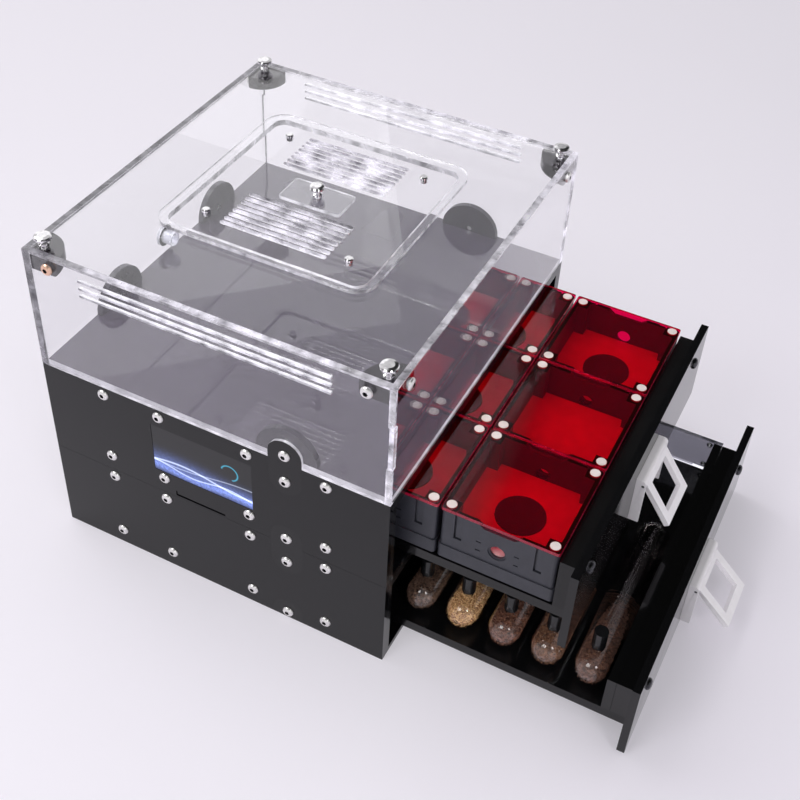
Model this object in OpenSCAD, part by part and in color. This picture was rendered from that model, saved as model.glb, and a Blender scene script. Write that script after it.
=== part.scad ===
// Ant habitat: a clear outworld box on two black cabinets with pull-out drawers.
// Pieces are placed in a corner frame: X to the right along the front, Y to the back and Z up,
// from the front left foot. from_corner() puts the origin at the centre of the underside.
// The drawers are drawn pulled out by upper_open and lower_open.

/* [Body] */
// Width of the cabinets and the outworld, along the front
body_w = 320; // [316:0.5:340]
// Depth of the cabinets and the outworld, front to back
body_d = 343.5; // [340:0.5:360]
// Height of the lower cabinet
lower_h = 94.4; // [93.5:0.1:110]
// Height of the upper cabinet
upper_h = 94.8; // [94.2:0.1:110]
// Thickness of the acrylic plates
plate_t = 5; // [4:0.1:5.5]
// Thickness of the strips that line the front and back inside a cabinet
liner_t = 6; // [5:0.1:7]
// Height of the bars above a drawer opening
header_h = 9.2; // [6:0.1:9.5]
// Depth of the bars above a drawer opening
header_d = 22; // [15:1:40]

/* [Outworld] */
// Height of the clear box
box_h = 116.4; // [100:0.1:150]
// Height of the lower wall fingers at the corners
finger_low = 36.8; // [20:0.1:45]
// Height of the middle wall fingers at the corners
finger_mid = 42; // [20:0.1:50]
// Length of a ventilation slot in the front and back walls
vent_l = 218.3; // [100:0.1:250]
// Height of a ventilation slot
vent_h = 2; // [1:0.1:4]
// Distance between ventilation slots
vent_pitch = 7.1; // [5:0.1:9]
// Depth of the top ventilation slot below the box's rim
vent_drop = 12.3; // [10:0.1:20]
// Radius of the quarter-round corner brackets, from the inner corner
bracket_r = 25; // [20:0.5:35]
// Height of the corner brackets
bracket_h = 13.6; // [10:0.1:20]
// Distance of the lid knobs from the outer faces
knob_inset = 12; // [11:0.1:16]
// Radius of the half-round plates behind the joining tabs
backer_r = 27; // [20:0.5:35]
// Bore of the tube port in the left wall
port_bore = 9; // [6:0.5:12]
// Height of the tube port above the outworld's floor
port_rise = 13; // [11:0.5:40]

/* [Hatch] */
// Side of the square hatch plate
hatch_w = 192; // [190:1:200]
// Thickness of the hatch plate
hatch_t = 3; // [2:0.1:4]
// Corner radius of the hatch plate
hatch_r = 18; // [10:0.5:25]
// Overlap of the hatch plate over the lid's opening
hatch_lap = 7.5; // [5:0.1:10]
// Distance of the pegs from the hatch's centre lines
peg_off = 64.2; // [55:0.1:75]
// Number of ventilation slots in each group
slot_n = 8; // [4:1:8]
// Length of a hatch slot
slot_l = 95; // [60:1:110]
// Width of a hatch slot
slot_w = 3.2; // [2:0.1:4]
// Distance between hatch slots
slot_pitch = 6.15; // [5:0.05:6.5]
// Distance of a slot group's middle from the hatch's middle
slot_off = 48; // [45:0.5:55]

/* [Display] */
// Width of the display's glass
screen_w = 94.5; // [80:0.5:95]
// Height of the display's glass
screen_h = 51; // [40:0.5:60]
// Middle of the display along the front
screen_x = 151.6; // [140:0.1:155]
// Height of the display's middle above the upper cabinet's underside
screen_rise = 49.8; // [44:0.1:52]
// Width of the display module's rim at the sides of its glass
rim_side = 4.7; // [3:0.1:5]
// Width of the display module's rim above and below its glass
rim_top = 3; // [2:0.1:3.5]
// Depth of the display module behind the panel
module_d = 14; // [8:0.5:16]

/* [Screws and tabs] */
// Head diameter of the button screws
screw_head = 10; // [8:0.1:11]
// Head height of the button screws
screw_head_h = 2.7; // [2:0.1:3]
// Shank diameter of the button screws
screw_d = 5; // [4:0.1:6]
// Height of the lower screws in a cabinet's panel
screw_low = 17.2; // [13:0.1:22]
// Distance of the upper screws below a cabinet's top
screw_drop = 7.9; // [7:0.1:14]
// Width of the joining tabs
tab_w = 30; // [24:0.5:34]
// Length of the joining tabs
tab_l = 57.4; // [50:0.1:62]
// Drop of a tab's middle below the joint that it bridges
tab_drop = 6.5; // [0:0.1:8]
// Distance of a tab's screws from its middle
tab_screw = 14.2; // [12:0.1:18]
// Middle of the front and back tabs along the front
tab_x = 229.8; // [224:0.1:236]
// Distance of the left tabs from the middle of the depth
tab_side = 75; // [60:0.5:90]

/* [Drawers] */
// How far the upper drawer is pulled out
upper_open = 144.4; // [60:0.1:200]
// How far the lower drawer is pulled out
lower_open = 206.5; // [60:0.1:210]
// Thickness of the drawer fronts
front_t = 6.5; // [5:0.1:8]
// Gap round a drawer front
front_gap = 0.5; // [0.3:0.1:1]
// Height of a drawer's base above its cabinet's underside
base_rise = 18; // [17:0.1:18.5]
// Thickness of a drawer's base
base_t = 9.4; // [8:0.1:9.6]
// Width of the bar behind the upper drawer's front
block_w = 12.9; // [10:0.1:14]
// Height of the bar behind the upper drawer's front
block_h = 50; // [40:0.5:54]
// Height of the lower drawer's side and inner front walls
wall_h = 36.6; // [30:0.1:48]
// Thickness of the lower drawer's side wall
side_wall_t = 4; // [3:0.1:5]
// Thickness of the lower drawer's inner front wall
inner_wall_t = 7.5; // [5:0.1:9]
// Distance between the two runners' middles
runner_span = 220; // [160:1:240]
// Width of the runners
runner_w = 20; // [16:0.5:26]
// Wall thickness of the runners
runner_t = 1.5; // [1:0.1:2]
// Distance of a drawer front's screws from the body's front and back
front_screw_in = 43; // [38:0.5:50]
// Gap between a closed drawer and the left panel
back_gap = 3.3; // [2:0.1:6]

/* [Nests] */
// Room beside the trays, at the front and at the back
side_room = 16.05; // [15:0.05:20]
// Gap between trays from left to right
tray_gap_x = 1.9; // [1:0.1:1.9]
// Gap between trays from front to back
tray_gap_y = 0.7; // [0.5:0.1:1.5]
// Height of a nest tray
tray_h = 54.2; // [48:0.1:54.4]
// Wall thickness of a nest tray
tray_t = 3; // [2.5:0.1:4]
// Height of the recessed foot of a nest tray
tray_foot = 2.5; // [1.5:0.1:4]
// Height of the skirt at the bottom of a nest tray
skirt_h = 16; // [10:0.5:17]
// Depth of a nest chamber below the tray's rim
chamber_h = 33; // [25:0.5:34]
// Thickness of the light floor plates
nest_floor_t = 3; // [2:0.1:4]
// Side of the corner posts that hold the magnets
post_w = 13; // [11:0.5:16]
// Thickness of the red lids
nest_lid_t = 3; // [2:0.1:3]
// Diameter of the magnets
magnet_d = 8; // [6:0.5:10]
// Diameter of the ports between the nests
nest_port_d = 12; // [8:0.5:14]
// Diameter of the round moisture insert in a nest's floor
insert_d = 40; // [30:1:50]

/* [Feeder tubes] */
// Outer diameter of a feeder tube
tube_d = 30; // [20:0.5:32]
// Wall thickness of a feeder tube
tube_t = 1.5; // [1:0.1:2.5]
// Length of a feeder tube
tube_l = 180; // [120:1:200]
// Gap between the feeder tubes
tube_gap = 7.4; // [3:0.1:8]
// Distance of a tube's front end from the base's front edge
tube_inset = 7; // [5:0.5:12]
// Diameter of a feeder tube's neck
neck_d = 9; // [6:0.5:10]
// Diameter of the rubber caps
cap_d = 11.5; // [10:0.1:14]
// Height of the rubber caps
cap_h = 18; // [12:0.5:20]
// How far a cap grips its tube's neck
cap_grip = 12; // [6:0.5:14]
// Height of the seed at a tube's front end, above the tube's middle
fill_rise = 9; // [0:0.5:9.5]
// Slope of the seed towards the back
fill_slope = 12; // [5:0.5:30]

/* [Handles] */
// Width of the handle's base
handle_w = 57; // [56.5:0.5:70]
// Height of the handle's base
handle_h = 46.4; // [44:0.1:55]
// Depth of the handle's base
handle_d = 8.6; // [8.5:0.1:12]
// Height of the base's lower edge above the cabinet's underside
handle_rise = 15.6; // [10:0.1:25]
// Distance of the handles' middle behind the middle of the depth
handle_shift = 4.5; // [0:0.5:10]
// Width of the pull ring
ring_w = 50; // [40:0.1:51]
// Length of the pull ring
ring_l = 46.4; // [34:0.1:48]
// Width of the pull ring's bars
ring_bar = 8; // [6:0.1:10]
// Thickness of the pull ring
ring_t = 4.8; // [4:0.1:5]
// Tilt of the upper ring away from hanging
upper_tilt = 35; // [0:1:90]
// Tilt of the lower ring away from hanging
lower_tilt = 46; // [0:1:90]

/* [Hidden] */
$fn = 48;

// heights of the storeys
upper_z = lower_h;
floor_z = lower_h + upper_h;
box_top = floor_z + box_h;
lid_t = plate_t;
cut = 1;                    // how far cutting bodies pass through a face
fit = 0.1;                  // clearance between a shank or tab and its hole, on the diameter
run = 0.05;                 // radial running clearance of a shaft that turns
loose = 0.3;                // clearance between pieces that slide or lift apart
seam = 0.2;                 // open joint between two plates that meet edge to edge
air = 0.1;                  // film of air between clear pieces that lie on each other

// inner edges of a cabinet
liner_in = plate_t + liner_t;
opening_w = body_d - 2 * liner_in;

// drawers, in their closed place
front_x = body_w - front_t;
block_x = front_x - block_w;
base_x = plate_t + back_gap;
base_y = liner_in + side_room;
base_w = body_d - 2 * base_y;

// nest trays: three columns by three rows fill the upper drawer's base
tray_l = (block_x - front_gap - base_x - 2 * tray_gap_x) / 3;
tray_w = (base_w - 2 * tray_gap_y) / 3;
column_step = tray_l + tray_gap_x;
row_step = tray_w + tray_gap_y;
first_column = block_x - front_gap - tray_l / 2;
base_top = base_rise + base_t;
tray_top = base_top + tray_h;

// runners: a lipped channel on the bottom plate and a rail under the drawer
channel_h = base_rise - plate_t - 2 * runner_t;
lip_w = 3;
rail_neck = runner_w - 2 * runner_t - 2 * lip_w - 2 * loose;
rail_foot_h = channel_h - 2 * runner_t - 2 * loose;
runner_x = base_x + 6;
runner_l = front_x - 14 - runner_x;
runner_ys = [body_d / 2 - runner_span / 2, body_d / 2 + runner_span / 2];

// screw places on the front, the back and the left
screw_xs = [59.9, 113.2, body_w - 124.7, body_w - 54];
tab_zs = [-tab_drop, lower_h - tab_drop, floor_z - tab_drop];
tab_ys = [body_d / 2 - tab_side, body_d / 2 + tab_side];
bite = 4;                   // how far a screw goes into what is behind the panel
strip_t = 2;                // thickness of the strips behind the left tabs

// the outworld
bracket_z = box_top - lid_t - bracket_h;
knob_stem_d = 5;
knob_bite = 10;             // how far a knob's stem goes into its bracket
bracket_screw_in = 22.5;    // distance of a bracket's screws from the outer corner
opening_side = hatch_w - 2 * hatch_lap;
opening_r = hatch_r - hatch_lap;
peg_d = 7;
peg_shank = 3;
pad_size = [56, 30];

// pull handles
cheek_t = 2.5;
hood_r = 4;
pin_d = 2.5;
pin_out = handle_d - ring_t / 2;    // from the drawer's front to the pin
pin_z = handle_rise + handle_h - 6;
handle_back_t = pin_out - ring_t / 2 - loose / 2;

// feeder tubes
tube_n = 5;
tube_r = tube_d / 2;
tube_step = tube_d + tube_gap;
tube_rest = 2.4;            // gap between the last tube and the inner front wall
inner_wall_in = 9;          // how far the inner front wall stands back from the bar's place
inner_wall_x = block_x - inner_wall_in;
tube_x = inner_wall_x - tube_rest - tube_r - (tube_n - 1) * tube_step;
tube_z = base_top + tube_r;
tube_y = base_y + tube_inset + tube_r;
tube_run = tube_l - tube_d; // straight part
neck_shift = 7;             // from the middle of a tube's round end to its neck
neck_rise = 3.5;
neck_y = tube_y + neck_shift;
neck_top = tube_z + tube_r + neck_rise;

module from_corner() translate([-body_w / 2, -body_d / 2, 0]) children();
module in_upper() from_corner() translate([upper_open, 0, upper_z]) children();
module in_lower() from_corner() translate([lower_open, 0, 0]) children();

// ---- shared shapes ----

// flat square with true round corners, about the origin
module round_square(w, d, r) {
    square([w - 2 * r, d], center = true);
    square([w, d - 2 * r], center = true);
    for (x = [-1, 1], y = [-1, 1])
        translate([x * (w / 2 - r), y * (d / 2 - r)]) circle(r);
}

// stadium that stands along its second axis
module stadium(w, l) {
    square([w, l - w], center = true);
    for (s = [-1, 1]) translate([0, s * (l - w) / 2]) circle(d = w, $fn = 96);
}

// button screw whose head lies on z = 0 and whose shank goes down
module button_screw(shank) {
    r = screw_head / 2;
    difference() {
        union() {
            rotate_extrude() polygon([
                [0, 0], [r, 0], [r, screw_head_h * 0.25], [r * 0.9, screw_head_h * 0.62],
                [r * 0.66, screw_head_h * 0.92], [r * 0.45, screw_head_h], [0, screw_head_h]
            ]);
            translate([0, 0, -shank]) cylinder(d = screw_d, h = shank + 0.2);
        }
        translate([0, 0, screw_head_h - 1.6])
            cylinder(d = screw_head * 0.42, h = 1.6 + cut, $fn = 6);
    }
}

// hole for such a screw, from above z = 0 down
module screw_hole(depth) translate([0, 0, -depth]) cylinder(d = screw_d + fit, h = depth + cut);

// places children on the outer face of the front (0) or back (1), facing out
module on_face(side, x, z) {
    if (side == 0) translate([x, 0, z]) rotate([90, 0, 0]) children();
    if (side == 1) translate([x, body_d, z]) rotate([-90, 0, 0]) children();
}

// places children on the outer face of the left side
module on_left(y, z) translate([0, y, z]) rotate([0, -90, 0]) children();

// ---- cabinets ----

module tab_cut(z0) {
    for (z = tab_zs) translate([tab_x, plate_t / 2, z - z0]) rotate([90, 0, 0])
        linear_extrude(plate_t + 2 * cut, center = true) stadium(tab_w + fit, tab_l + fit);
}

// front or back plate of a cabinet, in the front's place, with its screw holes
module long_panel(z0, h) {
    translate([0, 0, z0]) difference() {
        cube([body_w, plate_t, h - seam]);
        tab_cut(z0);
        for (x = screw_xs, z = [screw_low, h - screw_drop]) on_face(0, x, z) screw_hole(liner_in);
    }
}

module lower_front_panel() color("#17181c") from_corner() long_panel(0, lower_h);

module upper_front_panel() color("#17181c") from_corner() difference() {
    long_panel(upper_z, upper_h);
    translate([screen_x - screen_w / 2 - fit / 2, -cut, upper_z + screen_rise - screen_h / 2 - fit / 2])
        cube([screen_w + fit, plate_t + 2 * cut, screen_h + fit]);
    // card slot under the display
    translate([screen_x - 28.3, -cut, upper_z + 1.6]) cube([48.1, 0.8 + cut, 5.4]);
}

module to_back() translate([0, body_d, 0]) mirror([0, 1, 0]) children();

module back_panels() color("#17181c") from_corner() to_back() {
    long_panel(0, lower_h);
    long_panel(upper_z, upper_h);
}

module left_panel(z0, h) {
    translate([0, plate_t, z0]) difference() {
        cube([plate_t, body_d - 2 * plate_t, h - seam]);
        for (y = tab_ys, z = tab_zs) translate([plate_t / 2, y - plate_t, z - z0]) rotate([90, 0, 90])
            linear_extrude(plate_t + 2 * cut, center = true) stadium(tab_w + fit, tab_l + fit);
        for (y = [liner_t / 2, body_d - 2 * plate_t - liner_t / 2], z = [screw_low, h - screw_drop])
            on_left(y, z) screw_hole(liner_in);
    }
}

module left_panels() color("#17181c") from_corner() {
    left_panel(0, lower_h);
    left_panel(upper_z, upper_h);
}

module bottom_plate(z0) translate([plate_t, plate_t, z0])
    cube([body_w - plate_t, body_d - 2 * plate_t, plate_t]);

module lower_bottom_plate() color("#1b1c20") from_corner() bottom_plate(0);

module upper_bottom_plate() color("#1b1c20") from_corner() bottom_plate(upper_z);

// strip behind the front or back plate; its screw holes end inside it
module liner(z0, h) {
    translate([0, 0, z0]) difference() {
        translate([plate_t, plate_t, plate_t]) cube([body_w - plate_t, liner_t, h - plate_t]);
        for (x = screw_xs, z = [screw_low, h - screw_drop])
            on_face(0, x, z) screw_hole(plate_t + bite);
        for (z = tab_zs, s = [-1, 1]) on_face(0, tab_x, z + s * tab_screw - z0)
            screw_hole(plate_t + bite);
        for (z = [screw_low, h - screw_drop])
            on_left(plate_t + liner_t / 2, z) screw_hole(plate_t + 2 * bite);
    }
}

module side_liners() color("#141519") from_corner() {
    liner(0, lower_h);
    difference() {
        liner(upper_z, upper_h);
        display_body(fit);
    }
    to_back() {
        liner(0, lower_h);
        liner(upper_z, upper_h);
    }
    for (c = [[0, lower_h], [upper_z, upper_h]], y = tab_ys) left_strip(c[0], c[1], y);
}

// thin strip that takes the left tabs' screws in a cabinet
module left_strip(z0, h, y) difference() {
    translate([plate_t, y - tab_w / 2, z0 + plate_t]) cube([strip_t, tab_w, h - header_h - plate_t]);
    for (z = tab_zs, s = [-1, 1]) on_left(y, z + s * tab_screw) screw_hole(liner_in);
}

module opening_headers() color("#141519") from_corner()
    for (c = [[0, lower_h], [upper_z, upper_h]], x = [plate_t, body_w - header_d])
        translate([x, liner_in, c[0] + c[1] - header_h]) cube([header_d, opening_w, header_h]);

// lipped channel along X, standing on z = 0
module channel() {
    side_h = channel_h;
    rotate([90, 0, 90]) linear_extrude(runner_l) difference() {
        translate([-runner_w / 2, 0]) square([runner_w, side_h]);
        translate([-runner_w / 2 + runner_t, runner_t])
            square([runner_w - 2 * runner_t, side_h - 2 * runner_t]);
        translate([-runner_w / 2 + runner_t + lip_w, side_h - runner_t - cut])
            square([runner_w - 2 * runner_t - 2 * lip_w, runner_t + 2 * cut]);
    }
}

// rail that hangs under a drawer's base, its top on z = 0
module rail() {
    top = base_rise - plate_t - channel_h;
    foot_w = runner_w - 2 * runner_t - 2 * loose;
    neck_h = top + runner_t + loose;
    rotate([90, 0, 90]) linear_extrude(runner_l) {
        translate([-rail_neck / 2, -neck_h]) square([rail_neck, neck_h]);
        translate([-foot_w / 2, -neck_h - rail_foot_h]) square([foot_w, rail_foot_h]);
    }
}

module runner_channels() color("silver") from_corner()
    for (z0 = [0, upper_z], y = runner_ys) translate([runner_x, y, z0 + plate_t]) channel();

// ---- display ----

module display_body(grow) {
    w = screen_w + 2 * rim_side + grow;
    h = screen_h + 2 * rim_top + grow;
    translate([screen_x - w / 2, plate_t, upper_z + screen_rise - h / 2]) cube([w, module_d, h]);
}

module display_screen() color("#0b1326") from_corner()
    translate([screen_x - screen_w / 2, 0.3, upper_z + screen_rise - screen_h / 2])
        cube([screen_w, 2.7, screen_h]);

socket = [20, 4, 6];        // width, depth and height of the module's socket

module display_housing() color("#202226") from_corner() difference() {
    union() {
        display_body(0);
        translate([screen_x - screen_w / 2, 3, upper_z + screen_rise - screen_h / 2])
            cube([screen_w, plate_t - 3, screen_h]);
    }
    // socket for its cable, low on the back
    z = upper_z + screen_rise - screen_h / 2;
    translate([screen_x - socket[0] / 2, plate_t + module_d - socket[1], z])
        cube([socket[0], socket[1] + cut, socket[2]]);
}

// ---- screws and joining tabs ----

module panel_screws() color("white") from_corner() {
    for (c = [[0, lower_h], [upper_z, upper_h]], z = [c[0] + screw_low, c[0] + c[1] - screw_drop]) {
        for (side = [0, 1], x = screw_xs) on_face(side, x, z) button_screw(plate_t + bite - fit);
        for (y = [plate_t + liner_t / 2, body_d - plate_t - liner_t / 2])
            on_left(y, z) button_screw(plate_t + 2 * bite - fit);
    }
    for (z = tab_zs, s = [-1, 1]) if (z + s * tab_screw > 0) tab_screws(z + s * tab_screw);
}

// the tabs' screws at one height; on the left those of the cabinets go into thin strips
module tab_screws(z) {
    for (side = [0, 1]) on_face(side, tab_x, z) button_screw(plate_t + bite - fit);
    for (y = tab_ys) on_left(y, z) button_screw(plate_t + (z > floor_z ? bite - fit : strip_t));
}

// one stadium plate with two screw holes, cut off at the floor
module tab(x, y, z, turn) {
    translate([x, y, z]) rotate([90, 0, turn]) difference() {
        linear_extrude(plate_t, center = true) stadium(tab_w, tab_l);
        for (s = [-1, 1]) translate([0, s * tab_screw, 0])
            cylinder(d = screw_d + fit, h = plate_t + 2 * cut, center = true);
        if (z - tab_l / 2 < 0) translate([-tab_w, -tab_l - z, -plate_t])
            cube([2 * tab_w, tab_l, 2 * plate_t]);
    }
}

module joining_tabs() color("#0f1013") from_corner() for (z = tab_zs) {
    for (y = [plate_t / 2, body_d - plate_t / 2]) tab(tab_x, y, z, 0);
    for (y = tab_ys) tab(plate_t / 2, y, z, 90);
}

// half-round plate that stands on the outworld's floor behind a tab
module backer() {
    depth = plate_t;
    rise = floor_z - tab_drop + tab_screw - floor_z - plate_t;
    rotate([90, 0, 0]) translate([0, 0, -depth]) linear_extrude(depth) difference() {
        intersection() {
            circle(backer_r, $fn = 96);
            translate([-backer_r, 0]) square([2 * backer_r, backer_r]);
        }
        translate([0, rise]) circle(d = screw_d + fit);
    }
}

module tab_backers() color("#3a3c42") from_corner() {
    translate([tab_x, plate_t + air, floor_z + plate_t]) backer();
    translate([tab_x, body_d - plate_t - air, floor_z + plate_t]) rotate(180) backer();
    for (y = tab_ys) translate([plate_t + air, y, floor_z + plate_t]) rotate(-90) backer();
}

// ---- outworld ----

module outworld_floor() color("#8d9098", 0.6) from_corner()
    translate([plate_t, plate_t, floor_z]) cube([body_w - 2 * plate_t, body_d - 2 * plate_t, plate_t]);

// true where a finger of the front and back walls reaches the corner
finger_z0 = floor_z + finger_low;

module long_wall() difference() {
    union() {
        translate([plate_t, 0, floor_z]) cube([body_w - 2 * plate_t, plate_t, box_h]);
        translate([0, 0, finger_z0]) cube([body_w, plate_t, finger_mid]);
    }
    tab_cut(0);
    for (i = [0:2]) translate([(body_w - vent_l) / 2, -cut, box_top - vent_drop - i * vent_pitch - vent_h / 2])
        cube([vent_l, plate_t + 2 * cut, vent_h]);
    for (x = [bracket_screw_in, body_w - bracket_screw_in])
        on_face(0, x, bracket_z + bracket_h / 2) screw_hole(2 * plate_t);
}

module side_wall() difference() {
    translate([0, 0, floor_z]) cube([plate_t, body_d, box_h]);
    for (y = [-cut, body_d - plate_t])
        translate([-cut, y, finger_z0]) cube([plate_t + 2 * cut, plate_t + cut, finger_mid]);
    for (y = [bracket_screw_in, body_d - bracket_screw_in])
        on_left(y, bracket_z + bracket_h / 2) screw_hole(2 * plate_t);
}

module outworld_front_wall() color("#e8f1f5", 0.35) from_corner() long_wall();

module outworld_back_wall() color("#e8f1f5", 0.35) from_corner() to_back() long_wall();

port_z = floor_z + plate_t + port_rise;
bush_d = port_bore + 4;

module outworld_left_wall() color("#e8f1f5", 0.35) from_corner() difference() {
    side_wall();
    for (y = tab_ys, z = tab_zs) translate([plate_t / 2, y, z]) rotate([90, 0, 90])
        linear_extrude(plate_t + 2 * cut, center = true) stadium(tab_w + fit, tab_l + fit);
    on_left(body_d / 2, port_z) translate([0, 0, -2 * plate_t]) cylinder(d = bush_d + fit, h = 3 * plate_t);
}

module to_right() translate([body_w, 0, 0]) mirror([1, 0, 0]) children();

module outworld_right_wall() color("#e8f1f5", 0.35) from_corner() to_right() side_wall();

// flanged bush through the left wall, for a connecting tube
module port_bush() color("#dfe9ee", 0.5) from_corner() on_left(body_d / 2, port_z) difference() {
    union() {
        translate([0, 0, -plate_t - 8]) cylinder(d = bush_d, h = plate_t + 8 + 3);
        cylinder(d = bush_d + 6, h = 3);
    }
    translate([0, 0, -plate_t - 8 - cut]) cylinder(d = port_bore, h = plate_t + 11 + 2 * cut);
}

// places children at each outer corner of the box, turned so that +X and +Y point inwards
module at_box_corners() {
    children();
    to_right() children();
    to_back() children();
    to_right() to_back() children();
}

module bracket() difference() {
    translate([plate_t, plate_t, bracket_z]) intersection() {
        cylinder(r = bracket_r, h = bracket_h, $fn = 96);
        translate([air, air, 0]) cube([bracket_r, bracket_r, bracket_h - air]);
    }
    // rounded lower edge
    translate([plate_t, plate_t, bracket_z]) rotate_extrude($fn = 96) difference() {
        translate([bracket_r - 4, -cut]) square([4 + cut, 4 + cut]);
        translate([bracket_r - 4, 4]) circle(4);
    }
    translate([knob_inset, knob_inset, box_top - lid_t - knob_bite - 0.5])
        cylinder(d = knob_stem_d + 2 * run, h = knob_bite + 0.5 + cut);
    on_face(0, bracket_screw_in, bracket_z + bracket_h / 2) screw_hole(plate_t + bite);
    on_left(bracket_screw_in, bracket_z + bracket_h / 2) screw_hole(plate_t + bite);
}

module corner_brackets() color("#1a1b1f") from_corner() at_box_corners() bracket();

module bracket_screws() color("silver") from_corner() at_box_corners() {
    on_face(0, bracket_screw_in, bracket_z + bracket_h / 2) button_screw(plate_t + bite - fit);
    on_left(bracket_screw_in, bracket_z + bracket_h / 2) button_screw(plate_t + bite - fit);
}

module lid_plate() color("#e8f1f5", 0.3) from_corner() difference() {
    translate([plate_t + loose, plate_t + loose, box_top - lid_t])
        cube([body_w - 2 * (plate_t + loose), body_d - 2 * (plate_t + loose), lid_t]);
    translate([body_w / 2, body_d / 2, box_top - lid_t - cut])
        linear_extrude(lid_t + 2 * cut) round_square(opening_side, opening_side, opening_r);
    at_box_corners() translate([knob_inset, knob_inset, box_top - lid_t - cut])
        cylinder(d = knob_stem_d + 2 * run, h = lid_t + 2 * cut);
}

// mushroom thumb screw that stands on z = 0
module thumb_screw(head_d, top, stem) {
    r = head_d / 2;
    rotate_extrude() polygon([
        [0, -stem], [knob_stem_d / 2, -stem], [knob_stem_d / 2, 0], [r * 0.62, 0],
        [r * 0.62, 1], [r * 0.42, 2], [r * 0.42, top * 0.36], [r * 0.6, top * 0.5],
        [r * 0.93, top * 0.64], [r, top * 0.7], [r, top * 0.86], [r * 0.9, top * 0.95],
        [r * 0.55, top], [0, top]
    ]);
}

module lid_knob() translate([knob_inset, knob_inset, box_top]) thumb_screw(14, 9.5, lid_t + knob_bite);

module lid_knob_front_left() color("silver") from_corner() lid_knob();

module lid_knob_front_right() color("silver") from_corner() to_right() lid_knob();

module lid_knob_back_left() color("silver") from_corner() to_back() lid_knob();

module lid_knob_back_right() color("silver") from_corner() to_right() to_back() lid_knob();

// ---- hatch ----

module at_hatch() from_corner() translate([body_w / 2, body_d / 2, box_top + air]) children();

module at_pegs() for (x = [-1, 1], y = [-1, 1]) translate([x * peg_off, y * peg_off, 0]) children();

module hatch_plate() color("#eef4f7", 0.3) at_hatch() difference() {
    linear_extrude(hatch_t) round_square(hatch_w, hatch_w, hatch_r);
    for (g = [-1, 1], i = [0:slot_n - 1])
        translate([0, g * slot_off + (i - (slot_n - 1) / 2) * slot_pitch, -cut])
            linear_extrude(hatch_t + 2 * cut) round_square(slot_l, slot_w, slot_w / 2 - 0.05);
    at_pegs() translate([0, 0, -cut]) cylinder(d = peg_shank + fit, h = hatch_t + 2 * cut);
    translate([0, 0, -cut]) cylinder(d = knob_stem_d + 2 * run, h = hatch_t + 2 * cut);
}

module hatch_pad() color("#e3ecef", 0.4) at_hatch() difference() {
    translate([0, 0, -hatch_t]) linear_extrude(hatch_t - air) round_square(pad_size[0], pad_size[1], 3);
    translate([0, 0, -hatch_t - cut]) cylinder(d = knob_stem_d + 2 * run, h = hatch_t + 2 * cut);
}

module hatch_pegs() color("silver") at_hatch() at_pegs() {
    translate([0, 0, hatch_t]) rotate_extrude()
        polygon([[0, 0], [peg_d / 2, 0], [peg_d / 2, 1.6], [peg_d / 2 - 0.8, 2.4], [0, 2.4]]);
    translate([0, 0, -2.4]) cylinder(d = peg_shank, h = hatch_t + 2.4);
    translate([0, 0, -2.4]) cylinder(d = 5.5, h = 2.4, $fn = 6);
}

module hatch_knob() color("silver") at_hatch() translate([0, 0, hatch_t])
    thumb_screw(12.6, 9, 2 * hatch_t + 2);

// ---- drawers, drawn in their closed place in a cabinet at z = 0 ----

module drawer_base() translate([base_x, base_y, base_rise]) cube([front_x - base_x, base_w, base_t]);

module drawer_rails() for (y = runner_ys) translate([runner_x, y, base_rise]) rail();

front_screw_ys = [front_screw_in, body_d - front_screw_in];
front_screw_z = base_top + block_h - 11.4;

module drawer_front(h, hole_z) difference() {
    translate([front_x, liner_in + front_gap, plate_t + front_gap])
        cube([front_t, opening_w - 2 * front_gap, h - header_h - plate_t - 2 * front_gap]);
    for (y = front_screw_ys) translate([body_w, y, hole_z]) rotate([0, 90, 0]) screw_hole(2 * front_t);
}

module front_screws(hole_z) for (y = front_screw_ys)
    translate([body_w, y, hole_z]) rotate([0, 90, 0]) button_screw(front_t + bite - fit);

module upper_drawer_base() color("#17181b") in_upper() drawer_base();

module upper_drawer_rails() color("silver") in_upper() drawer_rails();

module upper_drawer_bar() color("#111215") in_upper() difference() {
    translate([block_x, base_y, base_top]) cube([block_w, base_w, block_h]);
    for (y = front_screw_ys) translate([body_w, y, front_screw_z]) rotate([0, 90, 0])
        screw_hole(front_t + bite);
}

module upper_drawer_front() color("#0d0e11") in_upper() drawer_front(upper_h, front_screw_z);

module upper_drawer_screws() color("#222") in_upper() front_screws(front_screw_z);

lower_screw_z = base_top + wall_h - 6;

module lower_drawer_base() color("#131417") in_lower() drawer_base();

module lower_drawer_rails() color("silver") in_lower() drawer_rails();

wall_slot = [14, 3.2];      // length and height of the slot low in the side wall

// smoked side wall at the back, inner front wall and the spacer between it and the front
module lower_drawer_walls() color("#26272c") in_lower() {
    difference() {
        translate([base_x, base_y + base_w, base_rise])
            cube([inner_wall_x + inner_wall_t - base_x, side_wall_t, base_t + wall_h]);
        translate([inner_wall_x - wall_slot[0], base_y + base_w - cut, base_top])
            cube([wall_slot[0], side_wall_t + 2 * cut, wall_slot[1]]);
    }
    translate([inner_wall_x, base_y, base_top]) cube([inner_wall_t, base_w - seam, wall_h]);
    difference() {
        translate([inner_wall_x + inner_wall_t + seam, base_y, base_top])
            cube([front_x - inner_wall_x - inner_wall_t - seam, base_w, wall_h]);
        for (y = front_screw_ys) translate([body_w, y, lower_screw_z]) rotate([0, 90, 0])
            screw_hole(front_t + bite);
    }
}

module lower_drawer_front() color("#0d0e11") in_lower() drawer_front(lower_h, lower_screw_z);

module lower_drawer_screws() color("#222") in_lower() front_screws(lower_screw_z);

// ---- pull handles ----

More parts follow.
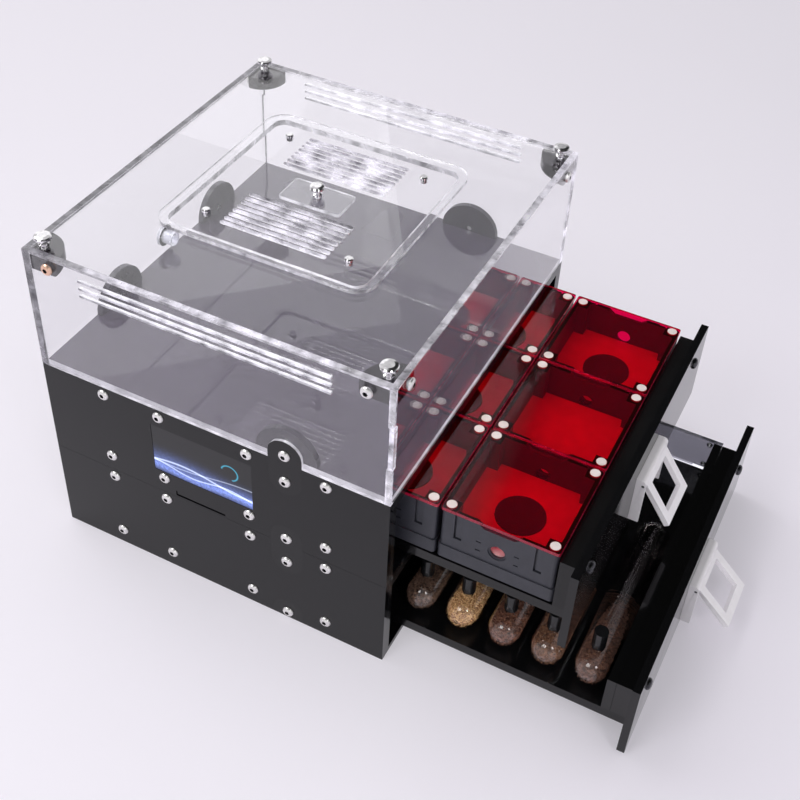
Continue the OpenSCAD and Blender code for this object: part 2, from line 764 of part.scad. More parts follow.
// places children on the front's outer face, X pointing out
module at_handle() translate([body_w, body_d / 2 + handle_shift, 0]) children();

// white moulded base: a back plate, two cheeks and a rounded hood over the ring's pin
module handle_base() at_handle() {
    top = handle_rise + handle_h;
    difference() {
        union() {
            translate([0, -handle_w / 2, handle_rise])
                cube([handle_d, handle_w, handle_h - hood_r]);
            translate([0, -handle_w / 2, handle_rise])
                cube([handle_d - hood_r, handle_w, handle_h]);
            translate([handle_d - hood_r, -handle_w / 2, top - hood_r])
                rotate([-90, 0, 0]) cylinder(r = hood_r, h = handle_w);
        }
        translate([handle_back_t, -handle_w / 2 + cheek_t, handle_rise - cut])
            cube([handle_d, handle_w - 2 * cheek_t, pin_z + ring_t / 2 + loose - handle_rise + cut]);
        translate([pin_out, -handle_w / 2 - cut, pin_z]) rotate([-90, 0, 0])
            cylinder(d = pin_d + fit, h = handle_w + 2 * cut);
    }
}

// pull ring, hung from its pin and then tilted out
module handle_ring(tilt) at_handle() translate([pin_out, 0, pin_z]) rotate([0, -tilt, 0]) {
    reach = ring_l - ring_t / 2;
    difference() {
        union() {
            translate([-ring_t / 2, -ring_w / 2, -reach]) cube([ring_t, ring_w, reach]);
            translate([0, -ring_w / 2, 0]) rotate([-90, 0, 0]) cylinder(d = ring_t, h = ring_w);
        }
        translate([-ring_t, -ring_w / 2 + ring_bar, -reach + ring_bar])
            cube([2 * ring_t, ring_w - 2 * ring_bar, reach - ring_bar - ring_t]);
        translate([0, -ring_w, 0]) rotate([-90, 0, 0]) cylinder(d = pin_d + 2 * run, h = 2 * ring_w);
    }
}

module handle_pin() at_handle() translate([pin_out, -handle_w / 2 + 0.3, pin_z]) rotate([-90, 0, 0])
    cylinder(d = pin_d, h = handle_w - 0.6);

module upper_handle_base() color("white") in_upper() handle_base();

module upper_handle_ring() color("white") in_upper() handle_ring(upper_tilt);

module upper_handle_pin() color("silver") in_upper() handle_pin();

module lower_handle_base() color("white") in_lower() handle_base();

module lower_handle_ring() color("white") in_lower() handle_ring(lower_tilt);

module lower_handle_pin() color("silver") in_lower() handle_pin();

// ---- nests ----

function column_x(i) = first_column - i * column_step;
function row_y(j) = body_d / 2 + (j - 1) * row_step;

module at_nest(i, j) translate([column_x(i), row_y(j), 0]) children();

module at_posts() for (x = [-1, 1], y = [-1, 1])
    translate([x * (tray_l - post_w) / 2, y * (tray_w - post_w) / 2, 0]) children();

relief = 1;                 // how far the walls stand in from the skirt
foot_in = 3;                // how far the foot stands in from the skirt
clip_w = 6.5;
clip_off = 32.5;
clip_h = 27;
clip_depth = 2.2;
clip_gap = 1.6;             // slot beside and below a clip's tongue
clip_drop = 0.7;            // depth of the tongue below the wall's face

// moulded tray: recessed foot, skirt, ported walls with clip channels, and a post in each corner
module tray() difference() {
    union() {
        translate([0, 0, base_top]) linear_extrude(tray_foot)
            round_square(tray_l - 2 * foot_in, tray_w - 2 * foot_in, 2);
        translate([0, 0, base_top + tray_foot]) linear_extrude(skirt_h - tray_foot)
            round_square(tray_l, tray_w, 3);
        translate([0, 0, base_top + skirt_h]) linear_extrude(tray_h - skirt_h)
            round_square(tray_l - 2 * relief, tray_w - 2 * relief, 3);
    }
    // chamber, leaving the corner posts
    translate([0, 0, tray_top - chamber_h]) linear_extrude(chamber_h + cut) tray_inside(0);
    // reservoir under the chamber, open to the base
    translate([0, 0, base_top - cut]) linear_extrude(tray_h - chamber_h - tray_t + cut)
        square([tray_l, tray_w] - 2 * [foot_in + tray_t, foot_in + tray_t], center = true);
    at_posts() translate([0, 0, tray_top - 2]) cylinder(d = magnet_d + fit, h = 2 + cut);
    for (turn = [0, 180]) rotate(turn) tray_face_cuts();
}

// plan of the chamber between the posts, smaller by a clearance all round
module tray_inside(gap) difference() {
    wall = relief + tray_t + gap;
    square([tray_l - 2 * wall, tray_w - 2 * wall], center = true);
    at_posts() square(post_w + 2 * gap, center = true);
}

// cuts in the face towards -Y: port, four slits, two clip channels and the dip in the rim
module tray_face_cuts() translate([0, -tray_w / 2 + relief, tray_top]) {
    translate([0, -cut, -24.4]) rotate([-90, 0, 0]) {
        cylinder(d = nest_port_d, h = tray_t + 2 * cut);
        cylinder(d = nest_port_d + 3, h = 1 + cut);
    }
    for (x = [-1, 1], z = [-20, -29.3]) translate([x * 15.5 - 2, -cut, z - 0.6]) cube([4, 1 + cut, 1.2]);
    for (x = [-1, 1]) translate([x * clip_off - clip_w / 2, 0, -clip_h]) difference() {
        translate([0, -cut, 0]) cube([clip_w, clip_depth + cut, clip_h + cut]);
        translate([clip_gap, clip_drop, clip_gap]) cube([clip_w, clip_depth, clip_h + 2 * cut]);
    }
    rotate([90, 0, 0]) translate([0, 0, -tray_t - cut]) linear_extrude(tray_t + 2 * cut)
        polygon([[-17.5, cut], [-17.5, 0], [-12.3, -4], [12.3, -4], [17.5, 0], [17.5, cut]]);
}

module tray_row(j) for (i = [0:2]) at_nest(i, j) tray();

module front_nest_trays() color("#4a4c58") in_upper() tray_row(0);

module middle_nest_trays() color("#4a4c58") in_upper() tray_row(1);

module back_nest_trays() color("#4a4c58") in_upper() tray_row(2);

// the outer middle nest is a dry one, with a plain floor and no insert
function is_dry(i, j) = i == 0 && j == 1;

module nest_floors() color("#e6e2dc") in_upper() for (i = [0:2], j = [0:2]) at_nest(i, j)
    translate([0, 0, tray_top - chamber_h]) linear_extrude(nest_floor_t) difference() {
        tray_inside(fit);
        if (!is_dry(i, j)) circle(d = insert_d + 2 * loose, $fn = 72);
    }

module moisture_inserts() color("#2a2522") in_upper() for (i = [0:2], j = [0:2]) if (!is_dry(i, j))
    at_nest(i, j) translate([0, 0, tray_top - chamber_h])
        cylinder(d = insert_d, h = nest_floor_t + 1, $fn = 72);

module nest_magnets() color("#f2eded") in_upper() for (i = [0:2], j = [0:2]) at_nest(i, j)
    at_posts() translate([0, 0, tray_top - 2]) cylinder(d = magnet_d, h = 2 + nest_lid_t);

lid_in = 0.5;               // how much smaller a lid is than its tray

module nest_lid() translate([0, 0, tray_top]) linear_extrude(nest_lid_t) difference() {
    round_square(tray_l - lid_in, tray_w - lid_in, 2);
    at_posts() circle(d = magnet_d + 2 * loose);
}

module inner_nest_lids() color("#7a0d1c", 0.7) in_upper() for (i = [1, 2], j = [0:2]) at_nest(i, j) nest_lid();

module front_nest_lid() color("#7a0d1c", 0.7) in_upper() at_nest(0, 0) nest_lid();

module middle_nest_lid() color("#7a0d1c", 0.7) in_upper() at_nest(0, 1) nest_lid();

module back_nest_lid() color("#7a0d1c", 0.7) in_upper() at_nest(0, 2) nest_lid();

// ---- feeder tubes ----

module at_tubes() for (i = [0:tube_n - 1]) translate([tube_x + i * tube_step, tube_y, tube_z]) children();

// round-ended body along Y, shrunk by an inset all round
module capsule(inset) {
    r = tube_r - inset;
    rotate([-90, 0, 0]) rotate_extrude() {
        translate([0, 0]) square([r, tube_run]);
        for (y = [0, tube_run]) translate([0, y]) intersection() {
            circle(r);
            translate([0, -r]) square([r, 2 * r]);
        }
    }
}

module feeder_tubes() color("#dfe6ea", 0.4) in_lower() at_tubes() difference() {
    union() {
        capsule(0);
        translate([0, neck_y - tube_y, 0]) cylinder(d = neck_d, h = neck_top - tube_z + cap_grip);
    }
    capsule(tube_t);
    translate([0, neck_y - tube_y, 0]) cylinder(d = neck_d - 2 * tube_t, h = 2 * tube_d);
}

module tube_caps() color("#16171a") in_lower() at_tubes() translate([0, neck_y - tube_y, neck_top - tube_z])
    difference() {
        cylinder(d = cap_d, h = cap_h);
        translate([0, 0, -cut]) cylinder(d = neck_d + fit, h = cap_grip + cut + fit);
    }

// seed heaped in each tube's front end, falling away towards the back
module tube_fill() color("#7a5233") in_lower() at_tubes() intersection() {
    capsule(tube_t + fit);
    translate([-tube_r, -tube_r, fill_rise]) rotate([-fill_slope, 0, 0]) translate([0, -tube_d, -tube_l])
        cube([tube_d, tube_l + tube_d, tube_l]);
}

// ---- drawing ----

lower_front_panel();
upper_front_panel();
back_panels();
left_panels();
lower_bottom_plate();
upper_bottom_plate();
side_liners();
opening_headers();
runner_channels();
display_screen();
display_housing();
panel_screws();
joining_tabs();
tab_backers();
outworld_floor();
outworld_front_wall();
outworld_back_wall();
outworld_left_wall();
outworld_right_wall();
corner_brackets();
bracket_screws();
port_bush();
lid_plate();
lid_knob_front_left();
lid_knob_front_right();
lid_knob_back_left();
lid_knob_back_right();
hatch_plate();
hatch_pad();
hatch_pegs();
hatch_knob();
upper_drawer_base();
upper_drawer_rails();
upper_drawer_bar();
upper_drawer_front();
upper_drawer_screws();
upper_handle_base();
upper_handle_ring();
upper_handle_pin();
front_nest_trays();
middle_nest_trays();
back_nest_trays();
nest_floors();
moisture_inserts();
nest_magnets();
inner_nest_lids();
front_nest_lid();
middle_nest_lid();
back_nest_lid();
lower_drawer_base();
lower_drawer_rails();
lower_drawer_walls();
lower_drawer_front();
lower_drawer_screws();
lower_handle_base();
lower_handle_ring();
lower_handle_pin();
feeder_tubes();
tube_caps();
tube_fill();
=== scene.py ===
import math
import random

import bmesh
import bpy
from mathutils import Matrix, Vector


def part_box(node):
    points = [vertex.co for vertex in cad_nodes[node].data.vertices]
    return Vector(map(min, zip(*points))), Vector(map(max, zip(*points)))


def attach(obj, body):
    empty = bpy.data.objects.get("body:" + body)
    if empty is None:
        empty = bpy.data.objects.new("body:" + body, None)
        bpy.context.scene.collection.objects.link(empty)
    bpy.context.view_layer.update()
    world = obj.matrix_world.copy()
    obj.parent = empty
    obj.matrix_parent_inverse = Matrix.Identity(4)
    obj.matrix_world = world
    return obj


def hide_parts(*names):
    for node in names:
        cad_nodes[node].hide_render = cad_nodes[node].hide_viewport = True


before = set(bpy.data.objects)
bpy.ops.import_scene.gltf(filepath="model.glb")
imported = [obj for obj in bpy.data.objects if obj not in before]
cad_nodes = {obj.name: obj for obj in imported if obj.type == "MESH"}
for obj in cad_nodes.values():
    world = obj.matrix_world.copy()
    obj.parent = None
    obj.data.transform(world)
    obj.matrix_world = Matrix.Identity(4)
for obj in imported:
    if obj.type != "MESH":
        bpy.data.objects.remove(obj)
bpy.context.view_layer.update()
MM = 0.001

# ---- Camera ----
# A product camera looking down from the front right, solved from the habitat's own square
# corners, so that a millimetre in the parts falls on the pixel where the real one is.
eye = Vector((422.0, -734.6, 885.0)) * MM
eye_right = Vector((0.88554, 0.46346, 0.03196))
eye_down = Vector((0.32270, -0.56416, -0.75999))
eye_forward = Vector((-0.33420, 0.68332, -0.64915))
lens = bpy.data.cameras.new("camera")
lens.sensor_fit = "HORIZONTAL"
lens.sensor_width = 36.0
lens.lens = 56.74
lens.shift_x = 0.0233
lens.shift_y = -0.0825
lens.clip_start = 0.02
lens.clip_end = 60.0
camera = bpy.data.objects.new("camera", lens)
bpy.context.scene.collection.objects.link(camera)
turn = Matrix((eye_right, -eye_down, -eye_forward)).transposed().to_4x4()
camera.matrix_world = Matrix.Translation(eye) @ turn
bpy.context.scene.camera = camera
bpy.context.scene.view_settings.view_transform = "Standard"

# ---- Studio ----
# A pale matt table in a dim room. Upright faces mirror the table, the lids at the right mirror
# the dark ceiling, and a lit backdrop at the back left is mirrored in the box's lid and floor.


def paint(code):
    """Linear colour of a hex code written as it should look."""
    parts = [int(code[i:i + 2], 16) / 255 for i in (0, 2, 4)]
    linear = [p / 12.92 if p <= 0.04045 else ((p + 0.055) / 1.055) ** 2.4 for p in parts]
    return (*linear, 1.0)


def add(tree, kind, sockets=None, **settings):
    """A shader node with its settings, and its inputs set to values or joined to sockets."""
    made = tree.nodes.new("ShaderNode" + kind)
    for key, value in settings.items():
        setattr(made, key, value)
    for key, value in (sockets or {}).items():
        if isinstance(value, bpy.types.NodeSocket):
            tree.links.new(value, made.inputs[key])
        else:
            made.inputs[key].default_value = value
    return made


def new_finish(name):
    """An empty material, its node tree and its output."""
    finish = bpy.data.materials.new(name)
    finish.use_nodes = True
    finish.node_tree.nodes.clear()
    return finish, finish.node_tree, add(finish.node_tree, "OutputMaterial")


def ramp(source, low, high, first, last):
    """A value that runs from first to last while a socket runs from low to high."""
    span = {"Value": source, "From Min": low, "From Max": high, "To Min": first, "To Max": last}
    return add(source.id_data, "MapRange", span).outputs["Result"]


def calc(operation, first, second=0.0, third=0.0):
    """One step of arithmetic on a socket, with sockets or numbers after it."""
    terms = {0: first, 1: second, 2: third}
    return add(first.id_data, "Math", terms, operation=operation).outputs["Value"]


def axes(tree, source="Object"):
    """The X, Y and Z of a texture coordinate."""
    return add(tree, "SeparateXYZ", {"Vector": add(tree, "TexCoord").outputs[source]}).outputs


def texture(tree, kind, scale, **more):
    """The outputs of a texture over the object, with its scale in features per metre."""
    place = add(tree, "TexCoord").outputs["Object"]
    return add(tree, kind, {"Vector": place, "Scale": scale, **more}).outputs


def patches(tree, size, low, high, detail=2.0):
    """A soft noise over the object, in metres per patch, spread from low to high."""
    return ramp(texture(tree, "TexNoise", 1.0 / size, Detail=detail)["Fac"], 0.3, 0.7, low, high)


def two_tones(tree, share, first, second):
    """A colour between two hex codes, by a share from 0 to 1."""
    mix = add(tree, "MixRGB", {"Fac": share, "Color1": paint(first), "Color2": paint(second)})
    return mix.outputs["Color"]


def new_piece(name, mesh, finish):
    """An object at the origin, with its place in its mesh."""
    piece = bpy.data.objects.new(name, mesh)
    bpy.context.scene.collection.objects.link(piece)
    mesh.materials.append(finish)
    return piece


table, tree, out = new_finish("table")
shade = two_tones(tree, patches(tree, 0.9, 0.0, 1.0), "f6f1fb", "f2edf7")
rough = patches(tree, 0.05, 0.5, 0.6)
cloth = add(tree, "BsdfPrincipled", {"Base Color": shade, "Roughness": rough, "Specular IOR Level": 0.2})
# The camera and the mirrors see part of the table as a glow, and the rest as lit cloth. The glow is
# painted light: brighter at the front than at the back, and less of it on the right, where the
# cloth's own shadows show more.
path = add(tree, "LightPath").outputs
mirror_way = calc("MAXIMUM", path["Is Glossy Ray"], path["Is Transmission Ray"])
shown_way = calc("MAXIMUM", path["Is Camera Ray"], mirror_way)
front_glow, back_glow = 1.0, 0.78
left_share, right_share = 0.42, 0.18
place = axes(tree)
# Painted light: the glow fades from the front of the table to the back.
fade = ramp(place["Y"], -0.5, 1.0, front_glow, back_glow)
lit = add(tree, "Emission", {"Color": paint("fbf8fe"), "Strength": fade})
share = calc("MULTIPLY", shown_way, ramp(place["X"], 0.2, 0.42, left_share, right_share))
mix = add(tree, "MixShader", {0: share, 1: cloth.outputs["BSDF"], 2: lit.outputs["Emission"]})
tree.links.new(mix.outputs[0], out.inputs["Surface"])
shape = bmesh.new()
bmesh.ops.create_grid(shape, x_segments=2, y_segments=2, size=7.0)
mesh = bpy.data.meshes.new("table")
shape.to_mesh(mesh)
shape.free()
new_piece("table", mesh, table)

room = bpy.data.worlds.new("room")
bpy.context.scene.world = room
room.use_nodes = True
tree = room.node_tree
tree.nodes.clear()
# Mirrors see the horizon, ceiling and backdrop, the camera a plain wall, and matt faces a dim room.
horizon_glow, ceiling_glow, backdrop_glow = 1.1, 0.03, 0.74
room_light = (0.55, 0.545, 0.56, 1)
way = axes(tree, "Generated")
ceiling = ramp(way["Z"], 0.1, 0.5, horizon_glow, ceiling_glow)
on_left = ramp(way["X"], -0.27, -0.2, backdrop_glow, 0.0)
backdrop = calc("MULTIPLY", on_left, ramp(way["Y"], 0.1, 0.3, 0.0, 1.0))
mirrored = calc("MAXIMUM", ceiling, backdrop)
path = add(tree, "LightPath").outputs
clear_way = calc("MAXIMUM", path["Is Camera Ray"], path["Is Transmission Ray"])
seen = add(tree, "MixRGB", {"Fac": path["Is Glossy Ray"], "Color1": room_light, "Color2": mirrored})
shown = {"Fac": clear_way, "Color1": seen.outputs["Color"], "Color2": paint("e6e5eb")}
sky = add(tree, "Background", {"Color": add(tree, "MixRGB", shown).outputs["Color"]})
tree.links.new(sky.outputs[0], add(tree, "OutputWorld").inputs["Surface"])

lamps_aim = Vector((0.1, 0, 0.1))


def softbox(name, place, width, height, watts):
    """A rectangular soft lamp at a place, turned to the habitat."""
    light = bpy.data.lights.new(name, "AREA")
    light.shape = "RECTANGLE"
    light.size = width
    light.size_y = height
    light.energy = watts
    lamp = bpy.data.objects.new(name, light)
    bpy.context.scene.collection.objects.link(lamp)
    lamp.location = place
    lamp.rotation_euler = (lamps_aim - Vector(place)).to_track_quat("-Z", "Y").to_euler()
    return lamp


softbox("softbox_key", (-1.5, 0.2, 2.3), 1.2, 2.0, 17)
softbox("softbox_back", (-1.5, 1.6, 1.4), 1.4, 1.2, 3)
softbox("softbox_front", (-0.5, -2.0, 1.9), 1.2, 0.9, 17)
softbox("softbox_right", (1.8, -1.4, 1.8), 0.5, 0.7, 8)
# The window only glints: it is mirrored, but lights nothing matt and isn't seen through sheets.
window = softbox("window_glint", (-1.45, -0.3, 2.25), 1.1, 1.3, 40)
window.visible_diffuse = False
window.visible_transmission = False

# ---- Cabinet panels ----
# Cast acrylic sheets, laser cut and screwed to liner strips behind them. The faces keep their
# mirror gloss, with a few soft wipe marks and fine dust.
acrylic_index = 1.49


def coat(tree, out, body):
    """Joins a material's output to a principled surface with these inputs."""
    tree.links.new(add(tree, "BsdfPrincipled", body).outputs["BSDF"], out.inputs["Surface"])


def gloss_sheet(name, tone, wiped, polish, shine=0.5):
    """Opaque cast sheet: deep colour, mirror gloss, faint wipe marks and dust."""
    finish, tree, out = new_finish(name)
    shade = two_tones(tree, patches(tree, 0.0015, 0.0, 1.0, 4.0), tone, wiped)
    rough = patches(tree, 0.06, polish, polish + 0.07, 5.0)
    coat(tree, out, {"Base Color": shade, "Roughness": rough, "IOR": acrylic_index,
                     "Specular IOR Level": shine})
    return finish


def dress(finish, *names, edge=0.0, steps=2):
    """Gives CAD nodes their finish, with broken edges of a width in millimetres."""
    for name in names:
        node = cad_nodes[name]
        node.data.materials.clear()
        node.data.materials.append(finish)
        if edge:
            weld = node.modifiers.new("weld", "WELD")
            weld.merge_threshold = 0.01 * MM
            bevel = node.modifiers.new("edge", "BEVEL")
            bevel.width = edge * MM
            bevel.segments = steps
            bevel.limit_method = "ANGLE"
            bevel.angle_limit = math.radians(40)
            bevel.harden_normals = False


black_sheet = gloss_sheet("black_sheet", "0c0c0e", "111114", 0.05, 0.32)
dress(black_sheet, "lower_front_panel", "upper_front_panel", "back_panels", "left_panels",
      "lower_bottom_plate", "upper_bottom_plate")

# ---- Liners and headers ----
# Black strips behind the panels and bars over the drawer openings, of the same sheet with a
# satin back, glued up before the panels go on.
liner_sheet = gloss_sheet("liner_sheet", "0b0b0c", "121214", 0.16, 0.36)
dress(liner_sheet, "side_liners", "opening_headers")

# ---- Joining tabs ----
# Stadium plates let in flush across the joints between the storeys, each held by two screws.
tab_sheet = gloss_sheet("tab_sheet", "0a0a0c", "0f0f12", 0.05, 0.36)
dress(tab_sheet, "joining_tabs")

# ---- Button screws ----
# Stainless button-head screws, tumbled to a soft shine, with painted shade inside their hexagon
# sockets. The one in front of the front left bracket is coppery.


def bright_metal(name, tone, worn, polish, spread):
    """Metal with a soft, uneven polish."""
    finish, tree, out = new_finish(name)
    shade = two_tones(tree, patches(tree, 0.002, 0.0, 1.0, 3.0), tone, worn)
    rough = patches(tree, 0.0012, polish, polish + spread, 3.0)
    coat(tree, out, {"Base Color": shade, "Metallic": 1.0, "Roughness": rough})
    return finish


button_steel = bright_metal("button_steel", "f4f2f2", "dedcdc", 0.28, 0.14)
dress(button_steel, "panel_screws", "bracket_screws")
copper = bright_metal("copper", "f0cdb8", "e2b49a", 0.25, 0.12)
bracket_screws = cad_nodes["bracket_screws"].data
bracket_screws.materials.append(copper)
screws_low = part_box("bracket_screws")[0]
front_end, left_end = screws_low.y + 12 * MM, screws_low.x + 15 * MM
for face in bracket_screws.polygons:
    if face.center.y < front_end and left_end < face.center.x < 0:
        face.material_index = 1

# The sockets' dark metal is painted shade, for the shade that falls inside each socket.
painted_socket_shade = bright_metal("painted_socket_shade", "3c3b40", "28282c", 0.4, 0.15)
button_rise, button_width = 2.6 * MM, 10.2 * MM
socket_reach, rim_depth = 2.0 * MM, 0.2 * MM


def shade_sockets(node, axis, outward):
    """Gives the hexagon sockets of the screws on one side of the habitat a dark inside, painted shade.
    """
    across, along = (i for i in range(3) if i != axis)
    spots = node.data.vertices
    end = max(v.co[axis] * outward for v in spots)
    heads = []
    for face in node.data.polygons:
        if face.center[axis] * outward < end - button_rise:
            continue
        corners = [(spots[i].co[across], spots[i].co[along]) for i in face.vertices]
        near = [head for head in heads if math.dist(head["corners"][0], corners[0]) < button_width]
        if not near:
            near = [{"corners": [], "faces": []}]
            heads += near
        near[0]["corners"] += corners
        near[0]["faces"].append(face)
    node.data.materials.append(painted_socket_shade)
    for head in heads:
        middle = [(min(side) + max(side)) / 2 for side in zip(*head["corners"])]
        for face in head["faces"]:
            off = math.dist(middle, (face.center[across], face.center[along]))
            if off < socket_reach and face.center[axis] * outward < end - rim_depth:
                face.material_index = len(node.data.materials) - 1


for axis, outward in ((1, -1), (1, 1), (0, -1)):
    shade_sockets(cad_nodes["panel_screws"], axis, outward)
    shade_sockets(cad_nodes["bracket_screws"], axis, outward)
shade_sockets(cad_nodes["bracket_screws"], 0, 1)

# ---- Runner channels ----
# Pressed steel channels that carry the drawers, screwed down inside each storey, and the
# drawers' rails of the same metal.
runner_metal = bright_metal("runner_metal", "8c8e92", "6e7074", 0.3, 0.15)
dress(runner_metal, "runner_channels", "upper_drawer_rails", "lower_drawer_rails")

# ---- Display ----
# A 4.3 inch colour module in a black housing behind its window. Its picture is a plain
# generic one: drifting ribbons of blue light with a ring gauge over them.
housing, tree, out = new_finish("housing")
rough = patches(tree, 0.0008, 0.4, 0.55)
coat(tree, out, {"Base Color": paint("17171a"), "Roughness": rough})
dress(housing, "display_housing")

screen_low, screen_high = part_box("display_screen")
screen_aspect = 1.85
screen, tree, out = new_finish("screen")
place = axes(tree)
across = ramp(place["X"], screen_low.x, screen_high.x, 0.0, 1.0)
up = ramp(place["Z"], screen_low.z, screen_high.z, 0.0, 1.0)


def bell(value, middle, width):
    """A soft bump: 1 where a value is at its middle, and near 0 two widths from it."""
    off = calc("DIVIDE", calc("SUBTRACT", value, middle), width)
    return calc("EXPONENT", calc("MULTIPLY", calc("MULTIPLY", off, off), -1.0))


def ribbon(height, swing, waves, start, width, level):
    """A glowing line that drifts across the screen, brightest at its middle."""
    wave = calc("SINE", calc("MULTIPLY_ADD", across, waves, start))
    return calc("MULTIPLY", bell(up, calc("MULTIPLY_ADD", wave, swing, height), width), level)


def blend(kind, first, second):
    """Two lights, multiplied or added."""
    pair = {"Fac": 1.0, "Color1": first, "Color2": second}
    return add(first.id_data, "MixRGB", pair, blend_type=kind).outputs["Color"]


haze = calc("ADD", ribbon(0.20, 0.05, 4.0, 0.6, 0.18, 0.42), ribbon(0.10, 0.03, 7.0, 2.0, 0.08, 0.65))
grain = texture(tree, "TexNoise", 420.0, Detail=4.0)["Fac"]
haze = calc("MULTIPLY", haze, calc("MULTIPLY_ADD", grain, 1.6, 0.1))
lines = calc("ADD", ribbon(0.24, 0.07, 5.2, 0.0, 0.018, 0.9), ribbon(0.17, 0.05, 8.5, 1.4, 0.014, 0.8))
lines = calc("ADD", lines, ribbon(0.31, 0.09, 3.9, 4.0, 0.012, 0.5))
ring_across, ring_height, ring_radius, ring_width, ring_cut = 0.78, 0.62, 0.15, 0.012, -0.1
ring_x = calc("MULTIPLY", calc("SUBTRACT", across, ring_across), screen_aspect)
ring_up = calc("SUBTRACT", up, ring_height)
ring_far = calc("SQRT", calc("ADD", calc("POWER", ring_x, 2.0), calc("POWER", ring_up, 2.0)))
ring_part = calc("GREATER_THAN", calc("ADD", ring_x, ring_up), ring_cut)
ring = calc("MULTIPLY", bell(ring_far, ring_radius, ring_width), ring_part)
blue = blend("MULTIPLY", haze, (0.25, 0.36, 1.0, 1))
pale = blend("MULTIPLY", lines, (0.72, 0.80, 1.0, 1))
cyan = blend("MULTIPLY", ring, (0.05, 0.42, 0.62, 1))
coat(tree, out, {"Base Color": paint("0c0d11"), "Roughness": patches(tree, 0.03, 0.03, 0.08),
                 "IOR": 1.5, "Emission Color": blend("ADD", blend("ADD", blue, pale), cyan),
                 "Emission Strength": 1.0})
dress(screen, "display_screen")

# ---- Outworld floor ----
# Clear sheets over a dark one, laid in between the clear walls. Their stacked faces mirror
# more than one sheet does, which an index above acrylic's stands for. The cut edge is painted
# with a streaky glow, painted light for the light it gathers.
stack_index = 1.8


def cut_edge(tree, axis):
    """1 on a sheet's cut edges, and 0 on its two faces across an axis."""
    return calc("LESS_THAN", calc("ABSOLUTE", axes(tree, "Normal")[axis]), 0.5)


def coat_clear(tree, out, surface, tint):
    """Joins a material's output to a surface that the lamps' light passes through, tinted."""
    passed = add(tree, "BsdfTransparent", {"Color": tint}).outputs["BSDF"]
    shadow_ray = add(tree, "LightPath").outputs["Is Shadow Ray"]
    mix = add(tree, "MixShader", {0: shadow_ray, 1: surface, 2: passed})
    tree.links.new(mix.outputs[0], out.inputs["Surface"])


floor_sheet, tree, out = new_finish("floor_sheet")
shade = two_tones(tree, patches(tree, 0.11, 0.0, 1.0), "37303e", "3d3646")
# Painted light: the cut edge glows in streaks.
painted_edge_glow = calc("MULTIPLY", cut_edge(tree, "Z"), patches(tree, 0.02, 0.35, 0.7, 5.0))
body = {"Base Color": shade, "Roughness": patches(tree, 0.05, 0.01, 0.03), "IOR": stack_index,
        "Emission Color": paint("f3f0fa"), "Emission Strength": painted_edge_glow}
stack = add(tree, "BsdfPrincipled", body).outputs["BSDF"]
coat_clear(tree, out, stack, (0.75, 0.75, 0.77, 1))
dress(floor_sheet, "outworld_floor")

# ---- Outworld walls ----
# Clear cast acrylic, laser cut with finger joints. The faces are water clear. The cut edges are
# frosted, with streaks of painted light glowing on them, and painted shade that dims them
# towards the left end.
painted_shade_end, light_end = -0.155, -0.06


def clear_sheet(name, axis, tint, edge_tone, edge_clear, glow=0.0, painted_shade_tone=""):
    """Clear sheet with polished faces across one axis, and frosted cut edges that may carry a painted
    glow of light, and painted shade towards the left.
    """
    finish, tree, out = new_finish(name)
    cut = cut_edge(tree, axis)
    painted_light_streaks = patches(tree, 0.012, 0.1, 1.0, 5.0)
    if painted_shade_tone:
        painted_light_streaks = calc("MULTIPLY", painted_light_streaks, ramp(axes(tree)["X"], painted_shade_end, light_end, 0.3, 1.0))
    edge_shade = two_tones(tree, painted_light_streaks, painted_shade_tone or edge_tone, edge_tone)
    shade = add(tree, "MixRGB", {"Fac": cut, "Color1": tint, "Color2": edge_shade})
    body = {"Base Color": shade.outputs["Color"], "IOR": acrylic_index,
            "Roughness": calc("MULTIPLY", cut, patches(tree, 0.01, 0.15, 0.35)),
            "Transmission Weight": ramp(cut, 0.0, 1.0, 1.0, edge_clear),
            "Emission Color": paint(edge_tone),
            "Emission Strength": calc("MULTIPLY", calc("MULTIPLY", cut, painted_light_streaks), glow)}
    coat_clear(tree, out, add(tree, "BsdfPrincipled", body).outputs["BSDF"], tint)
    return finish


clear_tint = (0.985, 0.985, 0.99, 1.0)
# The glow on the edges is painted light, and the last tone is the painted shade at their left end.
clear_edge = ("e2dfe8", 0.5, 0.5, "6c6a72")
front_clear = clear_sheet("front_clear", "Y", clear_tint, *clear_edge)
dress(front_clear, "outworld_front_wall", "outworld_back_wall")
side_clear = clear_sheet("side_clear", "X", clear_tint, *clear_edge)
dress(side_clear, "outworld_left_wall", "outworld_right_wall")

# ---- Corner brackets and backers ----
# Dark cast acrylic: quarter blocks under the lid's corners, and half-round backers behind the
# joining tabs, seen as grey through the clear walls and the lid.
dress(gloss_sheet("bracket_sheet", "1c181d", "231f26", 0.05, 0.5), "corner_brackets")
dress(gloss_sheet("backer_sheet", "2a2630", "312d38", 0.06, 0.5), "tab_backers")

# ---- Tube port ----
# A turned clear bush pressed through the left wall, for a connecting tube.
dress(clear_sheet("bush_clear", "X", (0.9, 0.9, 0.93, 1.0), "dcdce4", 0.6), "port_bush")

# ---- Lid and hatch ----
# A clear lid with a square opening, and a clear vented hatch that rests in it on four pegs.
lid_clear = clear_sheet("lid_clear", "Z", clear_tint, *clear_edge)
dress(lid_clear, "lid_plate", "hatch_plate", "hatch_pad")

# ---- Knobs and pegs ----
# Polished stainless mushroom knobs and pegs, turned and screwed into their plates.
knob_chrome = bright_metal("knob_chrome", "e9e7ea", "d6d4d8", 0.08, 0.08)
dress(knob_chrome, "lid_knob_front_left", "lid_knob_front_right", "lid_knob_back_left",
      "lid_knob_back_right", "hatch_knob", "hatch_pegs")
